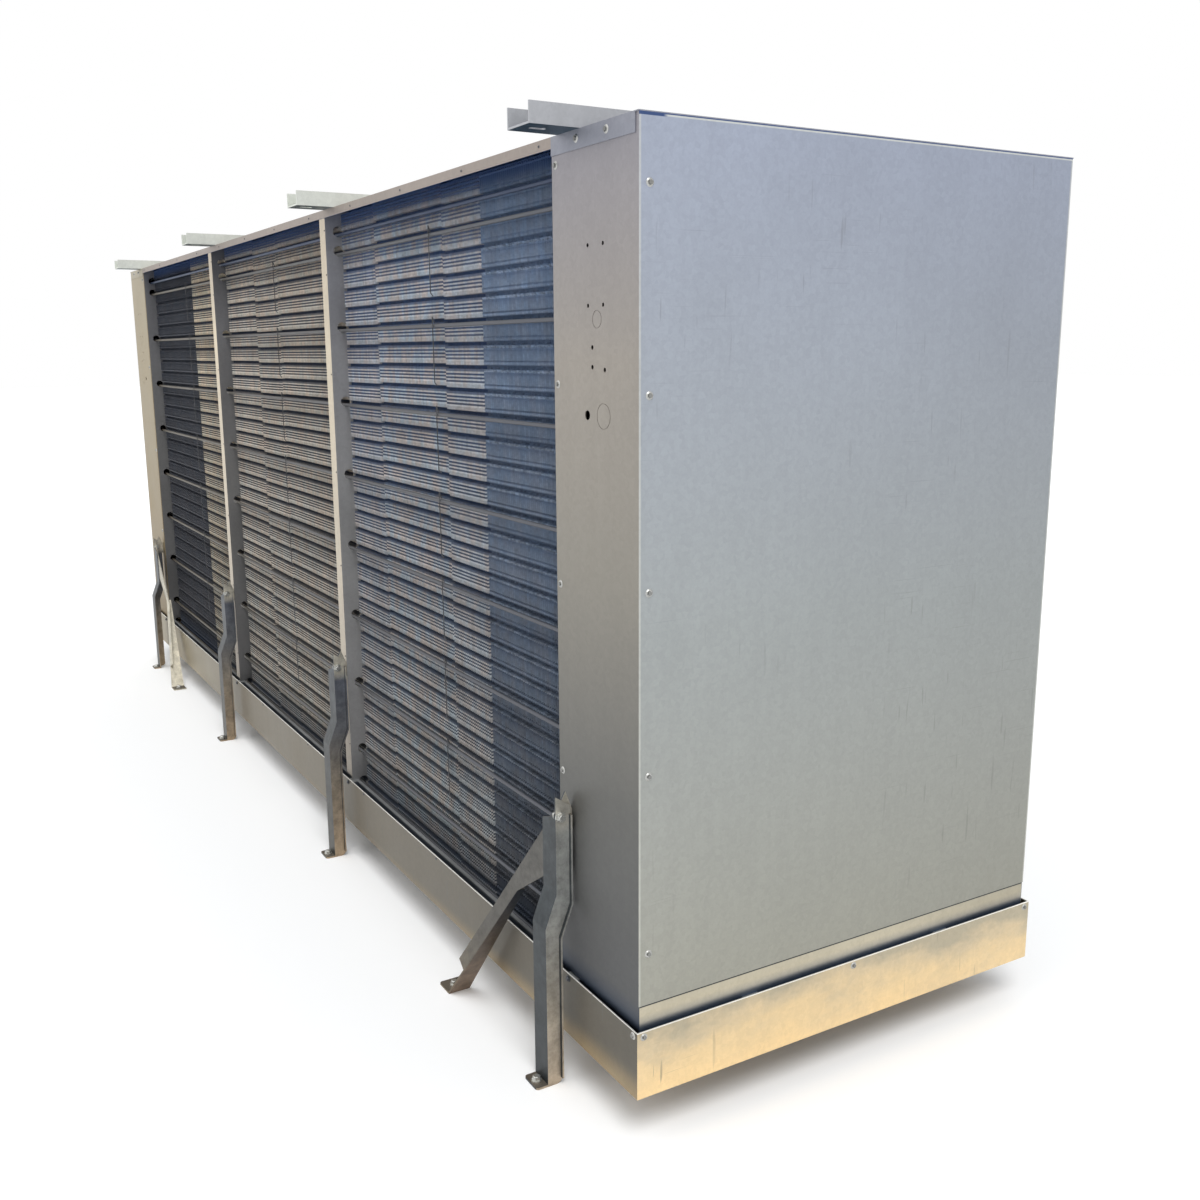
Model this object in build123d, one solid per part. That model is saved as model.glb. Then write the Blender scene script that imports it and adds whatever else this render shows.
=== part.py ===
from build123d import *
import os
from math import hypot, radians, sin

os.makedirs("parts", exist_ok=True)

# Industrial refrigeration evaporator: a finned coil in a galvanised sheet casing, with a
# fan side at the back, a drain pan under it, hanger channels on top and bolted legs.
# X runs along the unit, Y through its depth with the open coil face at -Y, Z is up.
# The origin is on the floor under the middle of the unit. All lengths are millimetres.

# Casing
casing_length = 4840.0
casing_depth = 1125.0
casing_height = 1700.0
casing_above_floor = 305.0
end_box_length = 320.0
bay_count = 3
cover_sheet = 2.0
cover_skirt = 52.0
cover_lap = 40.0
cap_flange = 36.0
cap_end_gap = 12.0
top_flange = 22.0

# Small holes and knockouts in the end covers: distance from the end, from the top, diameter
wiring_holes = [
    (183, 211, 8), (127, 211, 8), (183, 322, 8), (127, 322, 8),
    (168, 400, 9), (168, 437, 9), (122, 442, 9), (188, 529, 19),
]
knockouts = [(150, 348, 34), (127, 529, 50)]
knockout_groove = 1.5
knockout_depth = 1.0

# Coil
tube_pitch = 55.0
tube_rows_deep = 8
coil_setback = 50.0
coil_below_casing = 90.0
coil_top_room = 25.0
block_gap = 3.0
groove_height = 14.0
groove_depth = 9.0

# Seams between the fin blocks of each bay, as shares of the bay's length from its right end
block_seams = [(0.317, 0.476, 0.810), (0.500, 0.711), (0.432,)]

# Tube sheets
tube_sheet = 3.0
tube_sheet_flange = 50.0
flange_lift = 12.0

# Defrost heater rods, which lie in round holes of the tube sheets
heater_diameter = 10.0
heater_hole = 30.0
heater_setback = 38.0
heater_overrun = 50.0
heater_clearance = 0.3
heater_row_step = 4

# Base rails and end plates that carry the coil and hold the pan
rail_sheet = 3.0
rail_setback = 10.0
rail_height = 38.0
rail_ledge = 60.0
rail_lip = 10.0
base_end_sheet = 2.0

# Drain pan
pan_reach = 12.0
pan_sheet = 2.0
pan_depth = 149.0
pan_rim_drop = 49.0
pan_clip_width = 40.0
pan_clip_height = 26.0
pan_clip_drop = 6.0
drain_bore = 54.0
drain_wall = 3.0
drain_length = 60.0
drain_inset = 400.0

# Hanger channels
channel_width = 90.0
channel_height = 40.0
channel_sheet = 4.0
channel_reach = 108.0
channel_slot_inset = 40.0
channel_slot_width = 14.0
channel_slot_length = 35.0
end_channel_inset = 205.0

# Legs: cranked sections bolted to lugs on the casing. A rise is a height above the casing's foot.
leg_sheet = 4.0
leg_width = 60.0
leg_side = 36.0
leg_lip = 9.0
leg_stand_off = 42.0
leg_crank = 28.0
leg_crank_low_rise = 72.0
leg_crank_high_rise = 145.0
leg_back_drop = 25.0
leg_bend_radius = 12.0
leg_corner = 15.0
leg_rise = 325.0
leg_top_slope = 20.0
leg_tongue = 43.0
leg_tongue_slope = 24.0
end_leg_inset = 265.0
foot_sheet = 5.0
foot_reach = 29.0
foot_corner = 8.0
foot_hole = 14.0
foot_hole_inset = 15.0
lug_sheet = 4.0
lug_low_rise = 290.0
lug_high_rise = 376.0
lug_reach = 31.0
lug_slope = 42.0

# Braces beside the end legs
brace_sheet = 4.0
brace_width = 38.0
brace_lip_top = 20.0
brace_lip_foot = 58.0
brace_run = 420.0
brace_elbow_run = 139.0
brace_elbow_rise = 75.0
brace_root_low_rise = 205.0
brace_root_high_rise = 343.0
brace_face_end = 90.0
brace_foot_length = 60.0

# Fan side
fan_opening = 900.0
fan_ring_sheet = 3.0
fan_ring_length = 130.0
fan_ring_out = 60.0
fan_ring_flange = 40.0
fan_mouth = 28.0
fan_height_share = 0.5
guard_wire = 6.0
guard_ring_count = 6
guard_spokes = 8
guard_sides = 24
hub_diameter = 230.0
hub_length = 90.0
blade_count = 5
blade_tip_clearance = 12.0
blade_root_chord = 115.0
blade_middle_chord = 210.0
blade_tip_chord = 150.0
blade_root_angle = 38.0
blade_tip_angle = 22.0
blade_thickness = 8.0
blade_camber = 0.08
blade_in_hub = 12.0
motor_diameter = 210.0
motor_length = 230.0
motor_arm = 40.0
motor_arm_sheet = 6.0

# Places worked out from the sizes above
end_x = casing_length / 2
face_y = casing_depth / 2
casing_bottom = casing_above_floor
casing_top = casing_bottom + casing_height
coil_end_x = end_x - end_box_length
bay_length = 2 * coil_end_x / bay_count
cover_bottom = casing_bottom - cover_skirt
coil_bottom = casing_bottom - coil_below_casing
tube_rows = int((casing_top - coil_bottom - coil_top_room) / tube_pitch)
coil_height = tube_pitch * tube_rows
coil_front = -face_y + coil_setback
coil_depth = tube_pitch * tube_rows_deep
heater_y = -face_y + heater_setback
heater_rows = [0, *range(2, tube_rows - 1, heater_row_step), tube_rows - 1]
rail_bottom = coil_bottom - rail_sheet
rail_top = rail_bottom + rail_height
pan_rim = casing_bottom - pan_rim_drop
pan_bottom = pan_rim - pan_depth
cap_top = casing_top + cover_sheet


def block(x, y, z):
    """A box from three (low, high) pairs."""
    size = Box(x[1] - x[0], y[1] - y[0], z[1] - z[0], align=(Align.MIN, Align.MIN, Align.MIN))
    return Pos(x[0], y[0], z[0]) * size


def prism_x(points, x):
    """A prism along X from (y, z) points."""
    outline = Polyline(*[(0, y, z) for y, z in points], close=True)
    return Pos(x[0], 0, 0) * extrude(make_face(outline), amount=x[1] - x[0], dir=(1, 0, 0))


def prism_y(points, y):
    """A prism along Y from (x, z) points."""
    outline = Polyline(*[(x, 0, z) for x, z in points], close=True)
    return Pos(0, y[0], 0) * extrude(make_face(outline), amount=y[1] - y[0], dir=(0, 1, 0))


def rod_y(x, z, diameter, y):
    """A cylinder along Y."""
    middle = (y[0] + y[1]) / 2
    return Pos(x, middle, z) * Rot(90, 0, 0) * Cylinder(diameter / 2, y[1] - y[0])


def rod_x(y, z, diameter, x):
    """A cylinder along X."""
    middle = (x[0] + x[1]) / 2
    return Pos(middle, y, z) * Rot(0, 90, 0) * Cylinder(diameter / 2, x[1] - x[0])


def rod_z(x, y, diameter, z):
    """A cylinder along Z."""
    return Pos(x, y, (z[0] + z[1]) / 2) * Cylinder(diameter / 2, z[1] - z[0])


def to_left(shape):
    return mirror(shape, about=Plane.YZ)


def to_back(shape):
    return mirror(shape, about=Plane.XZ)


def save(name, *shapes):
    """Write one sub-part, whose separate solids share the node."""
    solids = [solid for shape in shapes for solid in shape.solids()]
    whole = solids[0] if len(solids) == 1 else Compound(children=solids)
    export_step(whole, f"parts/{name}.step")


def end_panel():
    """The flat sheet that closes the right end."""
    return block((end_x - cover_sheet, end_x), (-face_y, face_y), (casing_bottom, casing_top))


def end_cover():
    """The front sheet of the right end box, with the flange that the end panel screws to."""
    inner = end_x - 2 * cover_sheet
    face = block((coil_end_x, end_x - cover_sheet), (-face_y, -face_y + cover_sheet),
                 (cover_bottom, casing_top))
    lap = block((inner, end_x - cover_sheet), (-face_y, -face_y + cover_lap),
                (casing_bottom, casing_top))
    return face + lap


def wired_end_cover():
    """The coil side's cover, with its wiring holes and knockouts."""
    cover = end_cover()
    through = (-face_y - 1, -face_y + cover_sheet + 1)
    for inset, drop, diameter in wiring_holes:
        cover -= rod_y(end_x - inset, casing_top - drop, diameter, through)
    groove = (-face_y - 1, -face_y + knockout_depth)
    for inset, drop, diameter in knockouts:
        ring = rod_y(end_x - inset, casing_top - drop, diameter, groove)
        ring -= rod_y(end_x - inset, casing_top - drop, diameter - 2 * knockout_groove, groove)
        cover -= ring
    return cover


def top_cap():
    """The sheet over the right end box, turned down at the front and back."""
    outer = face_y + cover_sheet
    plate = block((coil_end_x, end_x), (-outer, outer), (casing_top, cap_top))
    flange = block((coil_end_x, end_x - cap_end_gap), (-outer, -face_y),
                   (cap_top - cap_flange, cap_top))
    return plate + flange + to_back(flange)


def top_panel():
    """The sheet over the coil, with shallower flanges."""
    outer = face_y + cover_sheet
    span = (-coil_end_x, coil_end_x)
    plate = block(span, (-outer, outer), (casing_top, cap_top))
    flange = block(span, (-outer, -face_y), (cap_top - top_flange, cap_top))
    return plate + flange + to_back(flange)


def row_height(row):
    """The height of a tube row's centre, with the lowest row as 0."""
    return coil_bottom + (row + 0.5) * tube_pitch


def tube_sheet_plate(web, span, front):
    """A full-depth sheet between bays. web is its right face, span its flanges along X."""
    back = face_y - cover_sheet
    flange_bottom = rail_top + flange_lift
    notch = face_y - rail_setback - rail_lip
    plate = block((web - tube_sheet, web), (front, back), (rail_top, casing_top))
    plate += block((web - tube_sheet, web), (-notch, notch), (coil_bottom, rail_top))
    plate += block(span, (front, front + tube_sheet), (flange_bottom, casing_top))
    plate += block(span, (back - tube_sheet, back), (flange_bottom, casing_top))
    for row in heater_rows:
        plate -= rod_x(heater_y, row_height(row), heater_hole, (web - tube_sheet - 1, web + 1))
    return plate


def fin_block(x):
    """A block of fins, grooved along each tube row where the fins leave a shadow gap."""
    back = coil_front + coil_depth
    top = coil_bottom + coil_height
    points = [(coil_front, coil_bottom)]
    rear = [(back, coil_bottom)]
    for row in range(tube_rows):
        low = row_height(row) - groove_height / 2
        high = low + groove_height
        points += [(coil_front, low), (coil_front + groove_depth, low),
                   (coil_front + groove_depth, high), (coil_front, high)]
        rear += [(back, low), (back - groove_depth, low),
                 (back - groove_depth, high), (back, high)]
    points.append((coil_front, top))
    rear.append((back, top))
    return prism_x(points + rear[::-1], x)


def end_tube_sheet():
    """The right one, whose flanges lie behind the end covers."""
    span = (coil_end_x - tube_sheet, coil_end_x - tube_sheet + tube_sheet_flange)
    return tube_sheet_plate(coil_end_x, span, -face_y + cover_sheet)


def middle_tube_sheet(web):
    """One between two bays, whose front flange shows."""
    return tube_sheet_plate(web, (web - tube_sheet_flange, web), -face_y)


def fin_bay(bay):
    """The fin blocks between two tube sheets, counted from the right."""
    right = coil_end_x - bay * bay_length - tube_sheet
    left = coil_end_x - (bay + 1) * bay_length
    if bay == bay_count - 1:
        left += tube_sheet
    seams = [right - share * (right - left) for share in block_seams[bay % len(block_seams)]]
    starts = [left, *[seam + block_gap / 2 for seam in reversed(seams)]]
    ends = [*[seam - block_gap / 2 for seam in reversed(seams)], right]
    return [fin_block(span) for span in zip(starts, ends)]


def heater_rods():
    """Defrost heaters along the coil face, each at the bottom of its holes."""
    drop = (heater_hole - heater_diameter) / 2 - heater_clearance
    reach = coil_end_x + heater_overrun
    return [rod_x(heater_y, row_height(row) - drop, heater_diameter, (-reach, reach))
            for row in heater_rows]


def base_rail():
    """The front channel that the tube sheets and the fins stand on."""
    reach = end_x - cover_sheet - base_end_sheet
    outer = -face_y + rail_setback
    upright = block((-reach, reach), (outer, outer + rail_sheet), (rail_bottom, rail_top))
    ledge = block((-reach, reach), (outer, outer + rail_ledge), (rail_bottom, coil_bottom))
    lip = block((-reach, reach), (outer, outer + rail_lip), (rail_top - rail_sheet, rail_top))
    return upright + ledge + lip


def base_end():
    """The strip that shows between the right end panel and the pan."""
    outer = end_x - cover_sheet
    depth = face_y - cover_sheet
    return block((outer - base_end_sheet, outer), (-depth, depth), (rail_bottom, casing_bottom))


def drain_pan():
    """An open tray with square corners and a drain socket under it."""
    x = end_x + pan_reach
    y = face_y + pan_reach
    tray = block((-x, x), (-y, y), (pan_bottom, pan_rim))
    hollow_x = x - pan_sheet
    hollow_y = y - pan_sheet
    tray -= block((-hollow_x, hollow_x), (-hollow_y, hollow_y),
                  (pan_bottom + pan_sheet, pan_rim + 1))
    drain_x = -end_x + drain_inset
    socket = (pan_bottom - drain_length, pan_bottom + pan_sheet)
    tray += rod_z(drain_x, 0, drain_bore + 2 * drain_wall, socket)
    tray -= rod_z(drain_x, 0, drain_bore, (socket[0] - 1, socket[1] + 1))
    return tray


def leg_places():
    """The right face of each front leg's side flange, from the right end."""
    first = end_x - end_leg_inset
    inner = [coil_end_x - (bay + 1) * bay_length for bay in range(bay_count - 1)]
    return first, inner


def pan_clips():
    """Blocks that hold the pan's walls to the base rails and end strips."""
    low = pan_rim - pan_clip_drop - pan_clip_height
    high = pan_rim - pan_clip_drop
    y = (-face_y - pan_reach + pan_sheet, -face_y + rail_setback)
    first, inner = leg_places()
    clips = []
    for x in (first, *inner, -first):
        clip = block((x - pan_clip_width / 2, x + pan_clip_width / 2), y, (low, high))
        clips += [clip, to_back(clip)]
    x = (end_x - cover_sheet, end_x + pan_reach - pan_sheet)
    quarter = face_y / 2
    end_clip = block(x, (-quarter - pan_clip_width / 2, -quarter + pan_clip_width / 2), (low, high))
    for clip in (end_clip, to_back(end_clip)):
        clips += [clip, to_left(clip)]
    return clips


def hanger_channel(x):
    """An upward channel across the unit, slotted at both ends. x is its left side."""
    reach = face_y + channel_reach
    bottom = cap_top
    top = bottom + channel_height
    right = x + channel_width
    web = block((x, right), (-reach, reach), (bottom, bottom + channel_sheet))
    left_flange = block((x, x + channel_sheet), (-reach, reach), (bottom, top))
    right_flange = block((right - channel_sheet, right), (-reach, reach), (bottom, top))
    channel = web + left_flange + right_flange
    run = channel_slot_length - channel_slot_width
    slot = extrude(SlotCenterToCenter(run, channel_slot_width, rotation=90),
                   amount=3 * channel_sheet, both=True)
    for side in (-1, 1):
        y = side * (reach - channel_slot_inset)
        channel -= Pos(x + channel_width / 2, y, bottom) * slot
    return channel


def leg_planes():
    """The front of a front leg's upper and lower lengths, and of its foot."""
    upper = -face_y - leg_stand_off
    lower = upper - leg_crank
    return upper, lower, lower - foot_reach


def foot_plate(x, y, hole_x, hole_y):
    """A foot plate with rounded corners at its low-Y side and a bolt hole."""
    plate = block(x, y, (0, foot_sheet))
    front_corners = plate.edges().filter_by(Axis.Z).group_by(Axis.Y)[0]
    plate = fillet(front_corners, foot_corner)
    return plate - rod_z(hole_x, hole_y, foot_hole, (-1, foot_sheet + 1))


def leg(x):
    """A front leg, cranked forward to clear the pan. x is its right face."""
    upper, lower, toe = leg_planes()
    low = casing_bottom + leg_crank_low_rise
    high = casing_bottom + leg_crank_high_rise
    top = casing_bottom + leg_rise
    slope = leg_crank / (high - low)
    inner_drop = leg_sheet * (hypot(1, slope) - 1) / slope

    def cranked(points, span):
        outline = Polyline(*[(0, y, z) for y, z in points], close=True)
        face = make_face(outline)
        bends = [corner for corner in face.vertices() if leg_corner < corner.Z < top]
        face = fillet(bends, leg_bend_radius)
        return Pos(span[0], 0, 0) * extrude(face, amount=span[1] - span[0], dir=(1, 0, 0))

    def strip(offset, drop, bottom):
        """The outline of one cranked sheet, set back from the leg's front and bent lower."""
        front = [(lower, bottom), (lower, low - drop), (upper, high - drop), (upper, top)]
        drop += inner_drop
        back = [(upper + leg_sheet, top), (upper + leg_sheet, high - drop),
                (lower + leg_sheet, low - drop), (lower + leg_sheet, bottom)]
        return [(y + offset, z) for y, z in front + back]

    web_back = upper + leg_side
    side = [
        (lower, 0), (lower, low), (upper, high), (upper, top + leg_tongue),
        (web_back, top + leg_tongue - leg_tongue_slope), (web_back, high - leg_back_drop),
        (web_back - leg_crank, low - leg_back_drop), (web_back - leg_crank, 0),
    ]
    front_flange = cranked(strip(0, 0, 0), (x - leg_width, x))
    front_flange -= prism_y([(x - leg_width, top - leg_top_slope), (x - leg_sheet, top),
                             (x - leg_width, top)], (upper, upper + leg_sheet))
    web = cranked(side, (x - leg_sheet, x))
    heel = web.edges().filter_by(Axis.X).group_by(Axis.Z)[0].sort_by(Axis.Y)[-1]
    web = fillet(heel, leg_corner)
    lip = cranked(strip(leg_side - leg_sheet, leg_back_drop, leg_corner),
                  (x - leg_sheet, x + leg_lip))
    foot = foot_plate((x - leg_width, x), (toe, lower + leg_sheet),
                      x - leg_width / 2, toe + foot_hole_inset)
    return front_flange + web + lip + foot


def lug(x):
    """The plate on the casing that a leg is bolted to, on the left of its side flange."""
    front = -face_y - lug_reach
    low = casing_bottom + lug_low_rise
    high = casing_bottom + lug_high_rise
    points = [
        (-face_y, low), (front, low), (front, high - lug_reach),
        (front + lug_reach / 2, high), (-face_y, high - lug_slope),
    ]
    return prism_x(points, (x - leg_sheet - lug_sheet, x - leg_sheet))


def brace(x):
    """The brace that runs down and left from a leg to its own foot. x is the leg's right face.
    It is an angle that leans forward to clear the pan. Above its elbow a gusset runs on
    behind the leg's front flange to the leg's side flange."""
    edge = x - leg_width
    web = x - leg_sheet
    elbow_x = edge - brace_elbow_run
    elbow_z = casing_bottom + brace_elbow_rise
    foot_x = edge - brace_run
    upper, lower, toe = leg_planes()
    y = upper + leg_sheet
    run = elbow_x - foot_x
    across = brace_width * hypot(run, elbow_z) / elbow_z

    def fold(z):
        """The point of the fold line between the face and the lip at a height."""
        share = z / elbow_z
        return foot_x + run * share, toe + (y - toe) * share, z

    def shifted(point, x=0.0, y=0.0):
        return point[0] + x, point[1] + y, point[2]

    def sheet(points, way):
        return extrude(make_face(Polyline(*points, close=True)), amount=brace_sheet, dir=way)

    lip = sheet([fold(0), fold(elbow_z), shifted(fold(elbow_z), y=brace_lip_top),
                 shifted(fold(0), y=brace_lip_foot)], (-elbow_z, 0, run))
    face_top = brace_face_end + brace_width / 2
    face = sheet([fold(brace_face_end), fold(elbow_z), shifted(fold(elbow_z), x=-across),
                  shifted(fold(face_top), x=-across)], (0, 1, 0))
    gusset = prism_y([(elbow_x - across, elbow_z), (elbow_x, elbow_z),
                      (web, casing_bottom + brace_root_low_rise),
                      (web, casing_bottom + brace_root_high_rise)], (y, y + brace_sheet))
    foot = foot_plate((foot_x - brace_foot_length, foot_x), (toe, toe + brace_lip_foot),
                      foot_x - brace_foot_length / 2, toe + brace_lip_foot / 2)
    return face + lip + gusset + foot


def fan_places():
    """The centre of each bay along X, from the right."""
    return [coil_end_x - (bay + 0.5) * bay_length for bay in range(bay_count)]


def fan_height():
    return cover_bottom + (casing_top - cover_bottom) * fan_height_share


def fan_panel():
    """The back sheet between the end covers, cut out for the fan rings."""
    panel = block((-coil_end_x, coil_end_x), (face_y - cover_sheet, face_y),
                  (cover_bottom, casing_top))
    cut = fan_opening + 2 * fan_ring_sheet
    for x in fan_places():
        panel -= rod_y(x, fan_height(), cut, (face_y - cover_sheet - 1, face_y + 1))
    return panel


def about_fan(shape, x):
    """Turn a shape made about +Z so that it points out of the back, at one fan."""
    return Pos(x, face_y, fan_height()) * Rot(-90, 0, 0) * shape


def fan_ring(x):
    """A spun ring with a rounded bell mouth inside and a flange against the back sheet."""
    bore = fan_opening / 2
    wall = bore + fan_ring_sheet
    inner = fan_ring_out - fan_ring_length
    mouth_top = inner + fan_mouth
    curve = sin(radians(45))

    def mouth_arc(radius):
        """A quarter circle about the mouth's centre, from the bore out to the rim."""
        centre = bore + fan_mouth
        return ThreePointArc((centre - radius, 0, mouth_top),
                             (centre - radius * curve, 0, mouth_top - radius * curve),
                             (centre, 0, mouth_top - radius))

    rim = bore + fan_mouth
    inside = mouth_arc(fan_mouth)
    outside = mouth_arc(fan_mouth - fan_ring_sheet)
    outline = [
        (bore, mouth_top), (bore, fan_ring_out), (wall, fan_ring_out),
        (wall, fan_ring_sheet), (wall + fan_ring_flange, fan_ring_sheet),
        (wall + fan_ring_flange, 0), (wall, 0), (wall, mouth_top),
    ]
    walls = Polyline(*[(r, 0, z) for r, z in outline])
    edge = Line((rim, 0, inner), (rim, 0, inner + fan_ring_sheet))
    face = make_face([*inside.edges(), *walls.edges(), *outside.edges(), *edge.edges()])
    return about_fan(revolve(face, Axis.Z), x)


def ring_bar(radius, low, high):
    """A many-sided wire ring about Z."""
    outer = extrude(RegularPolygon(radius + guard_wire / 2, guard_sides), amount=high - low)
    inner = extrude(RegularPolygon(radius - guard_wire / 2, guard_sides), amount=high - low)
    return Pos(0, 0, low) * (outer - inner)


def fan_guard(x):
    """Wire rings on spokes, seated on the end of the fan ring."""
    low = fan_ring_out
    middle = low + guard_wire
    outer = fan_opening / 2 + fan_ring_sheet
    step = outer / guard_ring_count
    guard = ring_bar(outer - guard_wire / 2, low, middle + guard_wire)
    for i in range(1, guard_ring_count):
        guard += ring_bar(step * i, middle, middle + guard_wire)
    for i in range(guard_spokes // 2):
        spoke = Box(2 * outer - guard_wire, guard_wire, guard_wire,
                    align=(Align.CENTER, Align.CENTER, Align.MIN))
        guard += Pos(0, 0, low) * Rot(0, 0, 180 * i / (guard_spokes // 2)) * spoke
    return about_fan(guard, x)


def blade_section(radius, chord, angle):
    """A cambered blade section, between two arcs, at a distance from the axis."""
    plane = Plane(origin=(radius, 0, 0), x_dir=(0, 1, 0), z_dir=(1, 0, 0))
    rise = chord * blade_camber
    nose, tail = (-chord / 2, 0), (chord / 2, 0)
    top = ThreePointArc(nose, (0, rise + blade_thickness / 2), tail)
    low = ThreePointArc(tail, (0, rise - blade_thickness / 2), nose)
    return plane * Rot(0, 0, angle) * make_face([*top.edges(), *low.edges()])


def blade():
    """One pitched blade along +X from inside the hub, flatter to its tip."""
    root = hub_diameter / 2 - blade_in_hub
    tip = fan_opening / 2 - blade_tip_clearance
    middle = (root + tip) / 2
    middle_angle = (blade_root_angle + blade_tip_angle) / 2
    return loft([
        blade_section(root, blade_root_chord, blade_root_angle),
        blade_section(middle, blade_middle_chord, middle_angle),
        blade_section(tip, blade_tip_chord, blade_tip_angle),
    ])


def fan_rotor(x):
    """Hub and blades."""
    rotor = Cylinder(hub_diameter / 2, hub_length)
    for i in range(blade_count):
        rotor += Rot(0, 0, 360 * i / blade_count) * blade()
    return about_fan(rotor, x)


def fan_motor(x):
    """Motor behind the hub, on a cross of flat arms that reach the fan ring."""
    low = -hub_length / 2 - motor_length
    on_end = (Align.CENTER, Align.CENTER, Align.MIN)
    motor = Pos(0, 0, low) * Cylinder(motor_diameter / 2, motor_length, align=on_end)
    reach = fan_opening + 2 * (fan_mouth + fan_ring_sheet)
    seat = fan_ring_out - fan_ring_length
    for turn in (0, 90):
        arm = Box(reach, motor_arm, motor_arm_sheet, align=on_end)
        motor += Pos(0, 0, seat - motor_arm_sheet) * Rot(0, 0, 45 + turn) * arm
    return about_fan(motor, x)


right_end = end_panel()
save("end_panel_right", right_end)
save("end_panel_left", to_left(right_end))

wired = wired_end_cover()
plain = to_back(end_cover())
save("end_cover_front_right", wired)
save("end_cover_front_left", to_left(wired))
save("end_cover_back_right", plain)
save("end_cover_back_left", to_left(plain))

cap = top_cap()
save("top_cap_right", cap)
save("top_cap_left", to_left(cap))
save("top_panel", top_panel())

save("tube_sheet_1", end_tube_sheet())
for bay in range(1, bay_count):
    save(f"tube_sheet_{bay + 1}", middle_tube_sheet(coil_end_x - bay * bay_length))
save(f"tube_sheet_{bay_count + 1}", to_left(end_tube_sheet()))

for bay in range(bay_count):
    save(f"fin_pack_{bay + 1}", *fin_bay(bay))
save("heater_rods", *heater_rods())

rail = base_rail()
save("base_rail_front", rail)
save("base_rail_back", to_back(rail))
strip = base_end()
save("base_ends", strip, to_left(strip))
save("drain_pan", drain_pan())
save("pan_clips", *pan_clips())

first_leg, inner_legs = leg_places()
end_channel = hanger_channel(end_x - end_channel_inset - channel_width)
save("hanger_channel_1", end_channel)
for i, x in enumerate(inner_legs):
    save(f"hanger_channel_{i + 2}", hanger_channel(x))
save(f"hanger_channel_{bay_count + 1}", to_left(end_channel))

front_legs = [leg(first_leg)] + [leg(x) for x in inner_legs] + [to_left(leg(first_leg))]
front_lugs = [lug(first_leg)] + [lug(x) for x in inner_legs] + [to_left(lug(first_leg))]
for i, shape in enumerate(front_legs):
    save(f"leg_front_{i + 1}", shape)
    save(f"leg_back_{i + 1}", to_back(shape))
save("leg_lugs", *front_lugs, *[to_back(shape) for shape in front_lugs])

front_braces = [brace(first_leg), to_left(brace(first_leg))]
save("braces_front", *front_braces)
save("braces_back", *[to_back(shape) for shape in front_braces])

save("fan_panel", fan_panel())
for i, x in enumerate(fan_places()):
    save(f"fan_ring_{i + 1}", fan_ring(x))
    save(f"fan_rotor_{i + 1}", fan_rotor(x))
save("fan_guards", *[fan_guard(x) for x in fan_places()])
save("fan_motors", *[fan_motor(x) for x in fan_places()])
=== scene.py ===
import math

import bpy
import numpy as np
from mathutils import Matrix, Vector


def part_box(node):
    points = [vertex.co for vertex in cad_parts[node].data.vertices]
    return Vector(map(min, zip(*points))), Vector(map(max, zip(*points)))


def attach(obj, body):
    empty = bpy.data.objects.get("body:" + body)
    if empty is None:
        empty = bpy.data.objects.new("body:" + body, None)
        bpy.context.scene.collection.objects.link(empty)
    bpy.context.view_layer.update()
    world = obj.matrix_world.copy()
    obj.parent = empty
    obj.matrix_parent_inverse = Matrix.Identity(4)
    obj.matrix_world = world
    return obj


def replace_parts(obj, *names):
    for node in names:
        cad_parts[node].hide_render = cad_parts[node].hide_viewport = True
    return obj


# Finish of the refrigeration evaporator: galvanised sheets, single coil fins, wires and fixings.
# Lengths are metres, in the frame of the CAD model.

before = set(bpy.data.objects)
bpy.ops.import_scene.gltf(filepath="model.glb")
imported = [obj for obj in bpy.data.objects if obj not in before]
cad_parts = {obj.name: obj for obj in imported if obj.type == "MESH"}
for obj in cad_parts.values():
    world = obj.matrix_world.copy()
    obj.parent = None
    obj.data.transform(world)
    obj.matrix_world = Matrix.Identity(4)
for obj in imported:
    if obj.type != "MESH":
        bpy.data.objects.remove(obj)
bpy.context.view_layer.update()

MM = 0.001
X, Y, Z = range(3)
BAYS = (1, 2, 3)

# Sides of round and hexagon pieces
HEX_SIDES = 6
WIRE_SIDES = 8
RIVET_SIDES = 10
TUBE_SIDES = 12
ROUND_SIDES = 20

# Coil, as in the CAD model: between the outer two, the heater rods are four tube rows apart
TUBE_PITCH = 55.0 * MM
TUBE_DIAMETER = 15.9 * MM
HEATER_STEP = 4

# Whole rows that are added to a count of rows, so that it stays above zero
ROWS_ADDED = 64.0

# Where the fin blocks of each bay meet, as shares of the bay's length from its right end
BLOCK_SEAMS = ((0.317, 0.476, 0.810), (0.500, 0.711), (0.432,))
BLOCK_GAP = 3.0 * MM

# Fins. A fin's edge runs on to its foot where it ends within FIN_FOOT_JOIN of it, and a dark box
# of painted shade, which stands for the depth of the coil, starts CORE_START behind the edges.
FIN_STEP = 10.0 * MM
FIN_THICKNESS = 0.6 * MM
FIN_DEPTH = 60.0 * MM
FIN_GROOVE_DEPTH = 9.0 * MM
FIN_RIPPLE_WAY = 2.6 * MM
FIN_FOOT_JOIN = 0.12 * TUBE_PITCH
CORE_START = 0.95 * FIN_DEPTH

# The front edge of a fin below the middle of each groove: drop in mm, and share of the ripple
RIPPLED_EDGE = ((4.5, 0), (10.9, 0), (15.3, 1), (19.6, 0), (23.9, 1), (28.3, 0), (32.6, 1),
                (37.2, 0), (42.0, 1), (50.5, 1))
FLAT_EDGE = ((4.5, 0), (6.5, 0), (10.5, 1), (14.5, 0), (39.0, 1), (43.0, 0), (48.0, 1),
             (50.5, 1))
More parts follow.
